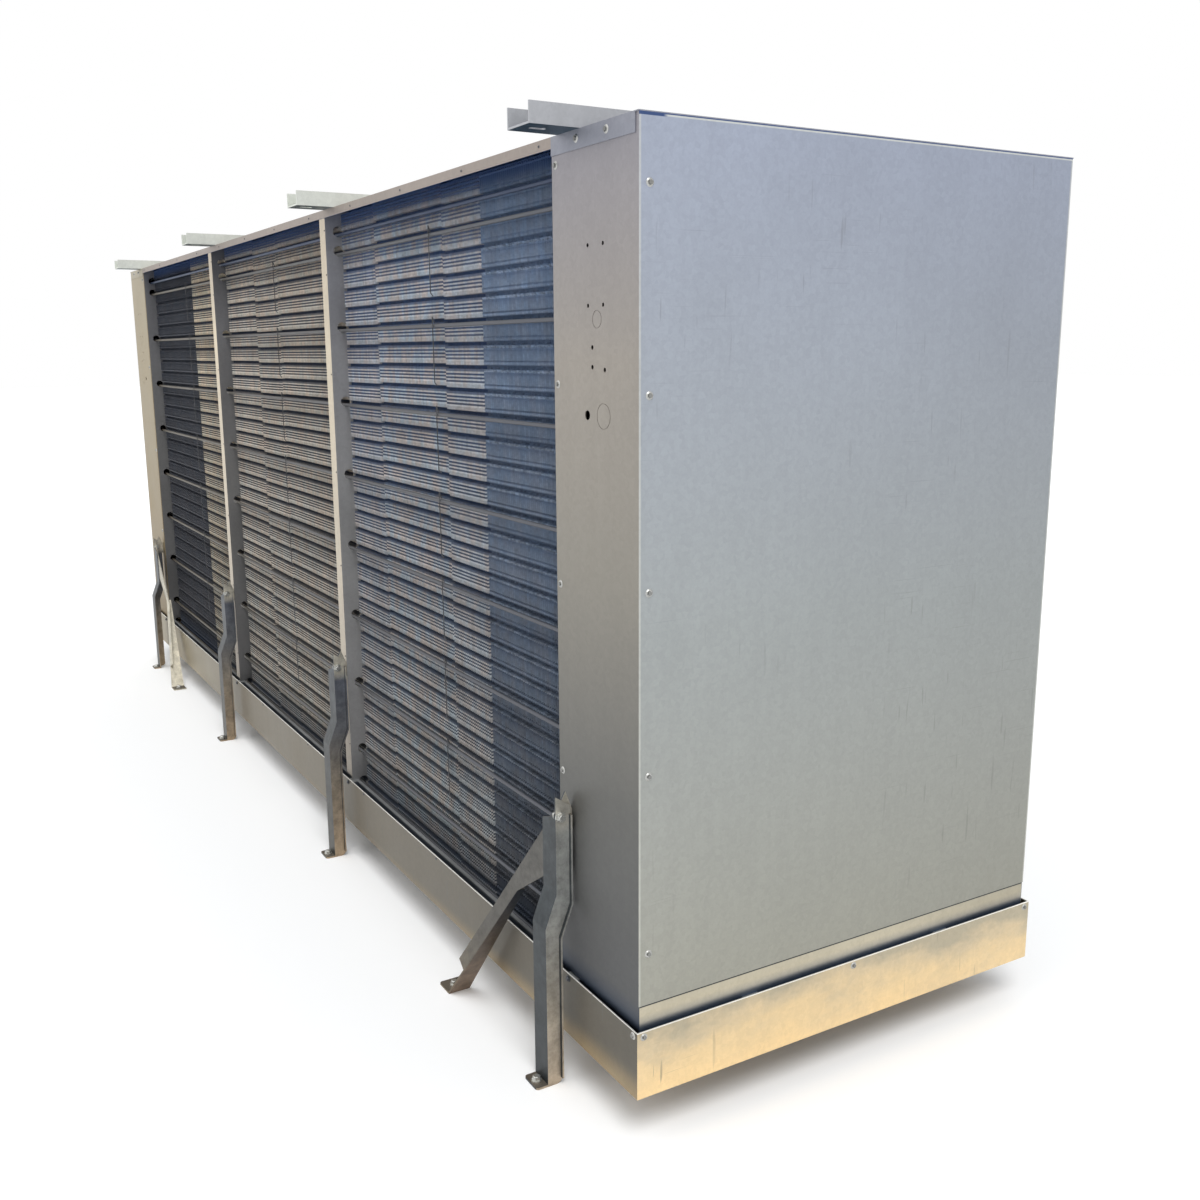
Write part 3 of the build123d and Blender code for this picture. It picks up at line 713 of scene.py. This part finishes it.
# The near hanger and the others are one sheet, painted with different light and shade
NEAR_HANGER = shaded_sheet("hanger_near_zinc", (0.420, 0.428, 0.450), (0.040, 0.075, 0.110))
HANGER = shaded_sheet("hanger_zinc", (0.660, 0.680, 0.630), (0.150, 0.180, 0.190))
# The near leg and the others are one steel with different painted light and shade: the near leg's
# sides lit, the others' sides in shade, and the forward faces dark as shade.
NEAR_LEG = leg_finish("leg_near_steel",
                      ((0.0, (0.036, 0.042, 0.046)), (1.0, (0.055, 0.062, 0.066))),
                      ((0.0, (0.385, 0.312, 0.232)), (0.4, (0.380, 0.357, 0.310)),
                       (0.66, (0.305, 0.310, 0.295)), (0.90, (0.365, 0.370, 0.350)),
                       (0.94, (0.450, 0.430, 0.380))))
LEG = leg_finish("leg_steel", ((0.0, (0.080, 0.078, 0.070)), (1.0, (0.070, 0.078, 0.086))),
                 ((0.0, (0.340, 0.255, 0.170)), (0.4, (0.260, 0.225, 0.180)),
                  (0.66, (0.140, 0.145, 0.155)), (0.90, (0.120, 0.130, 0.155)),
                  (0.94, (0.480, 0.450, 0.380))))
BRACE = leg_finish("brace_steel", ((0.0, (0.200, 0.155, 0.100)), (0.18, (0.135, 0.118, 0.092)),
                                   (0.4, (0.102, 0.096, 0.085)), (1.0, (0.095, 0.092, 0.084))),
                   ((0.0, (0.230, 0.165, 0.115)), (0.3, (0.120, 0.092, 0.070)),
                    (0.55, (0.070, 0.080, 0.095)), (1.0, (0.080, 0.085, 0.095))),
                   (0.460, 0.430, 0.350))
BACK = galvanised("back_sheet", ((0.0, (0.330, 0.340, 0.335)), (1.0, (0.360, 0.370, 0.380))),
                  CASING_SPAN)
RING = galvanised("ring_sheet", ((0.0, (0.360, 0.370, 0.380)), (1.0, (0.400, 0.410, 0.420))),
                  RING_SPAN)
# The coil's depth and its tubes are painted dark as shade
CORE = plain_metal("coil_shadow", (0.008, 0.012, 0.022), 0.1, (0.6, 0.8))
TUBE = plain_metal("tube_steel", (0.030, 0.036, 0.050), 0.5)
WIRE = plain_metal("tie_wire", (0.090, 0.092, 0.095), 0.5)
# Light washers and darker screw heads: painted highlight on the washers, painted shade on the
# heads
WASHER = plain_metal("washer_zinc", (0.460, 0.460, 0.440), 0.85, (0.30, 0.42))
SCREW = plain_metal("screw_zinc", (0.240, 0.240, 0.230), 0.85, (0.28, 0.4))
FIXING = plain_metal("fixing_zinc", (0.560, 0.560, 0.530), 0.85, (0.22, 0.34))
DARK_FIXING = plain_metal("fixing_dark", (0.085, 0.090, 0.100), 0.7, (0.3, 0.45))
GUARD = plain_metal("guard_wire_paint", (0.230, 0.240, 0.250), 0.3)
MOTOR = plain_metal("motor_paint", (0.110, 0.120, 0.130), 0.2, (0.4, 0.55))
ROTOR = plain_metal("rotor_metal", (0.420, 0.430, 0.440), 0.7)

# Colours of the fin blocks, each low on the coil and high on it: the painted shade ones, then the
# lit ones. How dark or blue a block looks is painted reflection and shade.
NAVY = ((0.034, 0.044, 0.065), (0.058, 0.096, 0.200))
DEEP_BLUE = ((0.068, 0.074, 0.091), (0.165, 0.225, 0.340))
GREY_BLUE = ((0.024, 0.028, 0.040), (0.030, 0.042, 0.075))
CHARCOAL = ((0.044, 0.046, 0.055), (0.046, 0.052, 0.070))
SILVER = ((0.400, 0.390, 0.375), (0.610, 0.605, 0.620))
DULL_SILVER = ((0.390, 0.375, 0.360), (0.560, 0.550, 0.565))
STONE = ((0.490, 0.455, 0.400), (0.660, 0.590, 0.510))
CREAM = ((0.400, 0.360, 0.290), (0.690, 0.600, 0.470))
STEEL_BLUE = ((0.137, 0.142, 0.150), (0.315, 0.390, 0.510))
SLATE = ((0.076, 0.077, 0.085), (0.080, 0.084, 0.098))

# The fin blocks of each bay from the right. A block has its shift up, its edge with its shades,
# its painted shade colours, its lit colours and its tinge.
RIPPLED = (RIPPLED_EDGE, RIPPLED_SHADES)
FLAT = (FLAT_EDGE, FLAT_SHADES)
FIN_BLOCKS = (
    ((0.0, FLAT, DEEP_BLUE, STEEL_BLUE, 0.03), (0.0, RIPPLED, NAVY, SILVER, 0.05),
     (3.5 * MM, RIPPLED, NAVY, SILVER, 0.08), (-1.0 * MM, RIPPLED, NAVY, DULL_SILVER, 0.05)),
    ((0.0, RIPPLED, GREY_BLUE, STONE, 0.04), (-2.5 * MM, RIPPLED, GREY_BLUE, STONE, 0.04),
     (3.0 * MM, RIPPLED, GREY_BLUE, STONE, 0.04)),
    ((0.0, RIPPLED, GREY_BLUE, CREAM, 0.04), (1.5 * MM, FLAT, CHARCOAL, SLATE, 0.03)),
)

# Finish and slot of the CAD nodes by how their names start. The last line that fits counts.
NODE_FINISHES = {
    "end_panel": (PANEL, "panel"),
    "end_cover_front": (COVER, "casing"),
    "end_cover_back": (BACK, "casing"),
    "top_cap": (CAP, "casing"),
    "top_cap_left": (FAR_CAP, "casing"),
    "top_panel": (TOP, "casing"),
    "fan_panel": (BACK, "casing"),
    "tube_sheet": (TUBE_SHEET, "tube_sheet"),
    "base_rail": (RAIL, "casing"),
    "base_ends": (STRIP, "casing"),
    "drain_pan": (PAN, "pan"),
    "pan_clips": (RAIL, "pan"),
    "hanger_channel": (HANGER, "hanger"),
    "hanger_channel_1": (NEAR_HANGER, "hanger"),
    "leg": (LEG, "leg"),
    "leg_front_1": (NEAR_LEG, "leg"),
    "braces": (BRACE, "leg"),
    "heater_rods": (ROD, "heater"),
    "fan_ring": (RING, "ring"),
    "fan_guards": (GUARD, "guard"),
    "fan_motors": (MOTOR, "motor"),
    "fan_rotor": (ROTOR, "rotor"),
    "fin_pack": (CORE, "fins"),
}


def dress_nodes():
    """Give every CAD node its finish."""
    for name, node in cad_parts.items():
        for start, (material, slot) in NODE_FINISHES.items():
            if name.startswith(start):
                node.data.materials.clear()
                node.data.materials.append(material)


# Coil


def fin_edge(profile, bottom, top, shift):
    """The front edge of one fin from its foot up, as (way, set back, height) points, with the
    height of the middle of the row that each one belongs to."""
    points = []
    middles = []
    groove = COIL_BOTTOM + shift + TUBE_PITCH / 2
    while groove - TUBE_PITCH < top:
        strip = [(FIN_RIPPLE_WAY * share, 0.0, groove - drop * MM)
                 for drop, share in reversed(profile)]
        strip = [point for point in strip if bottom < point[2] < top]
        near_foot = strip and strip[0][2] - FIN_FOOT_JOIN < bottom
        if near_foot or groove - TUBE_PITCH < bottom:
            strip.insert(0, (0.0, 0.0, bottom))
        elif strip:
            strip.insert(0, (0.0, FIN_GROOVE_DEPTH, strip[0][2]))
        if strip and groove > top:
            strip.append((0.0, 0.0, top))
        elif strip:
            strip.append((0.0, FIN_GROOVE_DEPTH, strip[-1][2]))
        points.extend(strip)
        middles.extend([(strip[0][2] + strip[-1][2]) / 2] * len(strip) if strip else [])
        groove += TUBE_PITCH
    return points, middles


def fin_block_shape(low, high, profile, shift):
    """Points and triangles of one block of fins. Each fin is a thin closed wedge: its front edge
    has a left and a right side, and each tube row's stretch of it tapers to one point behind."""
    edge, middles = fin_edge(profile, low.z, high.z, shift)
    count = len(edge)
    half = FIN_THICKNESS / 2
    left = [(way - half, low.y + back, z) for way, back, z in edge]
    right = [(way + half, low.y + back, z) for way, back, z in edge]
    rows = sorted(set(middles))
    owners = [rows.index(middle) for middle in middles]
    rear = [(0.0, low.y + FIN_DEPTH, z) for z in rows]
    points = np.array(left + right + rear)
    rear_start = 2 * count
    triangles = [(0, count, rear_start)]
    for i in range(count - 1):
        owner = rear_start + owners[i]
        after = rear_start + owners[i + 1]
        triangles.append((i, i + 1, count + i + 1))
        triangles.append((i, count + i + 1, count + i))
        triangles.append((i + 1, i, owner))
        triangles.append((count + i, count + i + 1, owner))
        if after != owner:
            triangles.append((i + 1, owner, after))
            triangles.append((count + i + 1, after, owner))
    triangles.append((rear_start + len(rows) - 1, 2 * count - 1, count - 1))
    triangles = np.array(triangles)
    width = high.x - low.x - FIN_RIPPLE_WAY - FIN_THICKNESS
    fins = int(width / FIN_STEP) + 1
    first = low.x + (width - (fins - 1) * FIN_STEP) / 2 + half
    starts = first + FIN_STEP * np.arange(fins)
    all_points = points[None, :, :] + np.outer(starts, (1, 0, 0))[:, None, :]
    all_triangles = triangles[None, :, :] + (len(points) * np.arange(fins))[:, None, None]
    return all_points.reshape(-1, 3), all_triangles.reshape(-1, 3)


def fin_blocks(bay):
    """The fins of one bay, in blocks, instead of the solid pack."""
    node = f"fin_pack_{bay}"
    low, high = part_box(node)
    length = high.x - low.x
    shares = (0.0, *BLOCK_SEAMS[bay - 1], 1.0)
    for block, (shift, (edge, shades), dark, light, tinge) in enumerate(FIN_BLOCKS[bay - 1]):
        right = high.x - shares[block] * length - (BLOCK_GAP / 2 if block else 0.0)
        left = high.x - shares[block + 1] * length
        left += BLOCK_GAP / 2 if shares[block + 1] < 1.0 else 0.0
        points, triangles = fin_block_shape(Vector((left, low.y, low.z)),
                                            Vector((right, high.y, FIN_TOP)), edge, shift)
        parts = Parts()
        parts.points = points.tolist()
        parts.faces = triangles.tolist()
        name = f"fins_{bay}_{block + 1}"
        material = fin_finish(f"{name}_sheet", shift, shades, dark, light, tinge)
        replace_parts(parts.build(name, material, "fins"), node)


def coil_inside(bay):
    """The tubes behind the fins' edges, painted dark as shade, and a dark box of painted shade for
    the depth of the coil.
    """
    low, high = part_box(f"fin_pack_{bay}")
    rows = round((high.z - low.z) / TUBE_PITCH)
    tubes = Parts()
    for row in range(rows):
        place = (low.x, low.y + TUBE_PITCH / 2, low.z + (row + 0.5) * TUBE_PITCH)
        drum(tubes, place, (1, 0, 0), TUBE_DIAMETER / 2, high.x - low.x, TUBE_SIDES)
    tubes.build(f"coil_tubes_{bay}", TUBE, "tube_sheet", True)
    core = Parts()
    box(core, (low.x, low.y + CORE_START, low.z), (high.x, high.y, FIN_TOP))
    core.build(f"coil_depth_{bay}", CORE, "fins")


def tie_wires():
    """Wires hooked over the heater rods, which hang down the coil face."""
    rods_low, rods_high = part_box("heater_rods")
    rod = (rods_high.y - rods_low.y) / 2
    middle = (rods_low.y + rods_high.y) / 2
    front = rods_low.y - TIE_RADIUS
    parts = Parts()
    for place in TIE_WIRES:
        height = rods_high.z - rod - TUBE_PITCH
        step = 0
        while height - TIE_DROP > rods_low.z + TUBE_PITCH:
            x = place - TIE_SHIFT * max(0.0, 1.0 - step / TIE_SHIFT_STEPS)
            hook = (x, middle, height + rod + TIE_RADIUS)
            above = (x, front, height + TIE_RISE)
            low = (x + TIE_LEAN, front, height - TIE_DROP)
            bar(parts, low, above, TIE_RADIUS)
            bar(parts, above, hook, TIE_RADIUS)
            bar(parts, low, Vector(low) + TIE_CURL, TIE_RADIUS)
            height -= HEATER_STEP * TUBE_PITCH
            step += 1
    parts.build("tie_wires", WIRE, "heater")


# Fixings


def front_and_back(low, high):
    """The front and the back of a box, each with the way it faces."""
    return ((low.y, -1), (high.y, 1))


def casing_screws():
    """Screws of the end covers, end panels and top caps."""
    cap_low, cap_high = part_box("top_cap_right")
    heads, washers = Parts(), Parts()
    for side in (-1, 1):
        for height in COVER_SCREW_HEIGHTS:
            for y, way in ((FRONT_Y, -1), (BACK_Y, 1)):
                place = (side * (COIL_END_X + COVER_SCREW_INSET), y, CASING_BOTTOM + height)
                screw(heads, washers, place, (0, way, 0))
        for height in PANEL_SCREW_HEIGHTS:
            place = (side * END_X, FRONT_Y + PANEL_SCREW_INSET, CASING_BOTTOM + height)
            screw(heads, washers, place, (side, 0, 0))
        for inset in CAP_SCREW_INSETS:
            for y, way in front_and_back(cap_low, cap_high):
                place = (side * (END_X - inset), y, cap_high.z - CAP_SCREW_DROP - SCREW_WASHER)
                screw(heads, washers, place, (0, way, 0))
    heads.build("casing_screws", SCREW, "casing")
    washers.build("casing_washers", WASHER, "casing")


def flange_screws():
    """Small screws in the edge of each inner tube sheet's flange."""
    parts = Parts()
    for index in (2, 3):
        low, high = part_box(f"tube_sheet_{index}")
        for height in FLANGE_SCREW_HEIGHTS:
            for y, way in front_and_back(low, high):
                place = (high.x - FLANGE_SCREW_INSET, y, height)
                rivet(parts, place, (0, way, 0), FLANGE_SCREW)
    parts.build("flange_screws", DARK_FIXING, "tube_sheet")


def leg_way(index):
    """Which way along the unit a leg's side flange faces."""
    return -1 if index == LEGS else 1


def leg_side(row, index, inset):
    """The place along the unit that lies inset from the side that a leg's flange is on."""
    low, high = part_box(f"{row}_{index}")
    return high.x - inset if leg_way(index) > 0 else low.x + inset


def pan_screws():
    """The drain pan's light screws at its corners and ends, and its dark fixings: the rivets
    along the rim and a screw beside each leg."""
    low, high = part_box("drain_pan")
    top = high.z - PAN_SCREW_DROP
    heads, washers = Parts(), Parts()
    for side in (-1, 1):
        for y, way in front_and_back(low, high):
            screw(heads, washers, (side * (high.x - PAN_CORNER_INSET), y, top), (0, way, 0))
            screw(heads, washers, (side * high.x, y - way * PAN_CORNER_INSET, top), (side, 0, 0))
        screw(heads, washers, (side * high.x, 0.0, top), (side, 0, 0))
    heads.build("pan_screws", SCREW, "pan")
    washers.build("pan_washers", WASHER, "pan")
    dark = Parts()
    for y, way in front_and_back(low, high):
        for i in range(PAN_RIVETS):
            x = (i - (PAN_RIVETS - 1) / 2) * PAN_RIVET_STEP + PAN_RIVET_SHIFT
            rivet(dark, (x, y, high.z - PAN_RIVET_DROP), (0, way, 0), PAN_RIVET)
        for index in range(1, LEGS + 1):
            x = leg_side("leg_front", index, PAN_LEG_SCREW_INSET)
            screw(dark, dark, (x, y, high.z - PAN_LEG_SCREW_DROP), (0, way, 0))
    dark.build("pan_bolts", DARK_FIXING, "pan")


def leg_bolts():
    """The bolt through each leg and its lug, and the bolts in the feet."""
    parts = Parts()
    for side, row in ((-1, "leg_front"), (1, "leg_back")):
        for index in range(1, LEGS + 1):
            low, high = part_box(f"{row}_{index}")
            way = leg_way(index)
            face_x = leg_side(row, index, LEG_LIP)
            y = side * (abs(FRONT_Y) + LEG_BOLT_OUT)
            bolt(parts, (face_x, y, high.z - LEG_BOLT_DROP), (way, 0, 0))
            nut = (face_x - way * LEG_NUT_BACK, y, high.z - LEG_BOLT_DROP)
            bolt(parts, nut, (-way, 0, 0))
            toe = low.y + FOOT_HOLE_INSET if side < 0 else high.y - FOOT_HOLE_INSET
            bolt(parts, (face_x - way * LEG_WIDTH / 2, toe, FOOT_TOP), (0, 0, 1))
    for x in (-BRACE_BOLT[0], BRACE_BOLT[0]):
        for y in (-BRACE_BOLT[1], BRACE_BOLT[1]):
            bolt(parts, (x, y, FOOT_TOP), (0, 0, 1))
    parts.build("leg_bolts", FIXING, "leg")


def top_rivets():
    """Small rivets along the top sheet's turned-down edges."""
    low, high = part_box("top_panel")
    parts = Parts()
    steps = int((high.x - low.x) / TOP_RIVET_STEP)
    run = high.x - low.x - 2 * TOP_RIVET_INSET
    for i in range(steps + 1):
        x = low.x + TOP_RIVET_INSET + run * i / steps
        for y, way in front_and_back(low, high):
            rivet(parts, (x, y, high.z - TOP_RIVET_DROP), (0, way, 0), TOP_RIVET)
    parts.build("top_rivets", DARK_FIXING, "casing")


# Room, light and camera


def matt_material(name, colour):
    """A colour with no gloss."""
    material = bpy.data.materials.new(name)
    material.use_nodes = True
    shader = material.node_tree.nodes["Principled BSDF"]
    shader.inputs["Base Color"].default_value = (*colour, 1.0)
    shader.inputs["Roughness"].default_value = 0.9
    shader.inputs["Specular IOR Level"].default_value = 0.0
    return material


def make_floor():
    mesh = bpy.data.meshes.new("floor")
    corners = [(x * FLOOR_REACH, y * FLOOR_REACH, 0.0)
               for x, y in ((-1, -1), (1, -1), (1, 1), (-1, 1))]
    mesh.from_pydata(corners, [], [(0, 1, 2, 3)])
    mesh.materials.append(matt_material("floor_white", FLOOR_COLOUR))
    floor = bpy.data.objects.new("floor", mesh)
    bpy.context.scene.collection.objects.link(floor)


def make_world():
    """Soft even light, and white where the camera, a reflection or glass looks past the object."""
    world = bpy.data.worlds.new("studio")
    bpy.context.scene.world = world
    world.use_nodes = True
    nodes, links = world.node_tree.nodes, world.node_tree.links
    background = nodes["Background"]
    background.inputs["Color"].default_value = (*SKY_COLOUR, 1.0)
    background.inputs["Strength"].default_value = SKY_STRENGTH
    white = nodes.new("ShaderNodeBackground")
    white.inputs["Color"].default_value = (1.0, 1.0, 1.0, 1.0)
    white.inputs["Strength"].default_value = 1.0
    path = nodes.new("ShaderNodeLightPath")
    seen = path.outputs["Is Camera Ray"]
    for ray in ("Is Glossy Ray", "Is Transmission Ray"):
        either = nodes.new("ShaderNodeMath")
        either.operation = "MAXIMUM"
        links.new(seen, either.inputs[0])
        links.new(path.outputs[ray], either.inputs[1])
        seen = either.outputs[0]
    mix = nodes.new("ShaderNodeMixShader")
    links.new(seen, mix.inputs["Fac"])
    links.new(background.outputs[0], mix.inputs[1])
    links.new(white.outputs[0], mix.inputs[2])
    links.new(mix.outputs[0], nodes["World Output"].inputs["Surface"])


def make_sun(name, strength, spread, heading, height):
    """A soft distant light. heading and height are where it stands, in degrees."""
    data = bpy.data.lights.new(name, "SUN")
    data.energy = strength
    data.angle = math.radians(spread)
    lamp = bpy.data.objects.new(name, data)
    bpy.context.scene.collection.objects.link(lamp)
    turn, rise = math.radians(heading), math.radians(height)
    back = Vector((math.cos(turn) * math.cos(rise), math.sin(turn) * math.cos(rise),
                   math.sin(rise)))
    lamp.rotation_mode = "QUATERNION"
    lamp.rotation_quaternion = back.to_track_quat("Z", "Y")


def make_camera():
    data = bpy.data.cameras.new("camera")
    data.sensor_fit = "HORIZONTAL"
    data.sensor_width = SENSOR_WIDTH
    data.lens = CAMERA_LENS
    data.clip_start, data.clip_end = CAMERA_SEES
    camera = bpy.data.objects.new("camera", data)
    bpy.context.scene.collection.objects.link(camera)
    turn = (Matrix.Rotation(math.radians(CAMERA_TURN), 4, "Z")
            @ Matrix.Rotation(math.radians(90 + CAMERA_TILT), 4, "X")
            @ Matrix.Rotation(math.radians(CAMERA_ROLL), 4, "Z"))
    camera.matrix_world = Matrix.Translation(CAMERA_PLACE) @ turn
    bpy.context.scene.camera = camera


dress_nodes()
for bay in BAYS:
    fin_blocks(bay)
    coil_inside(bay)
tie_wires()
casing_screws()
flange_screws()
pan_screws()
leg_bolts()
top_rivets()

make_floor()
make_world()
for sun in SUNS:
    make_sun(*sun)
make_camera()

bpy.context.scene.view_settings.view_transform = "Standard"
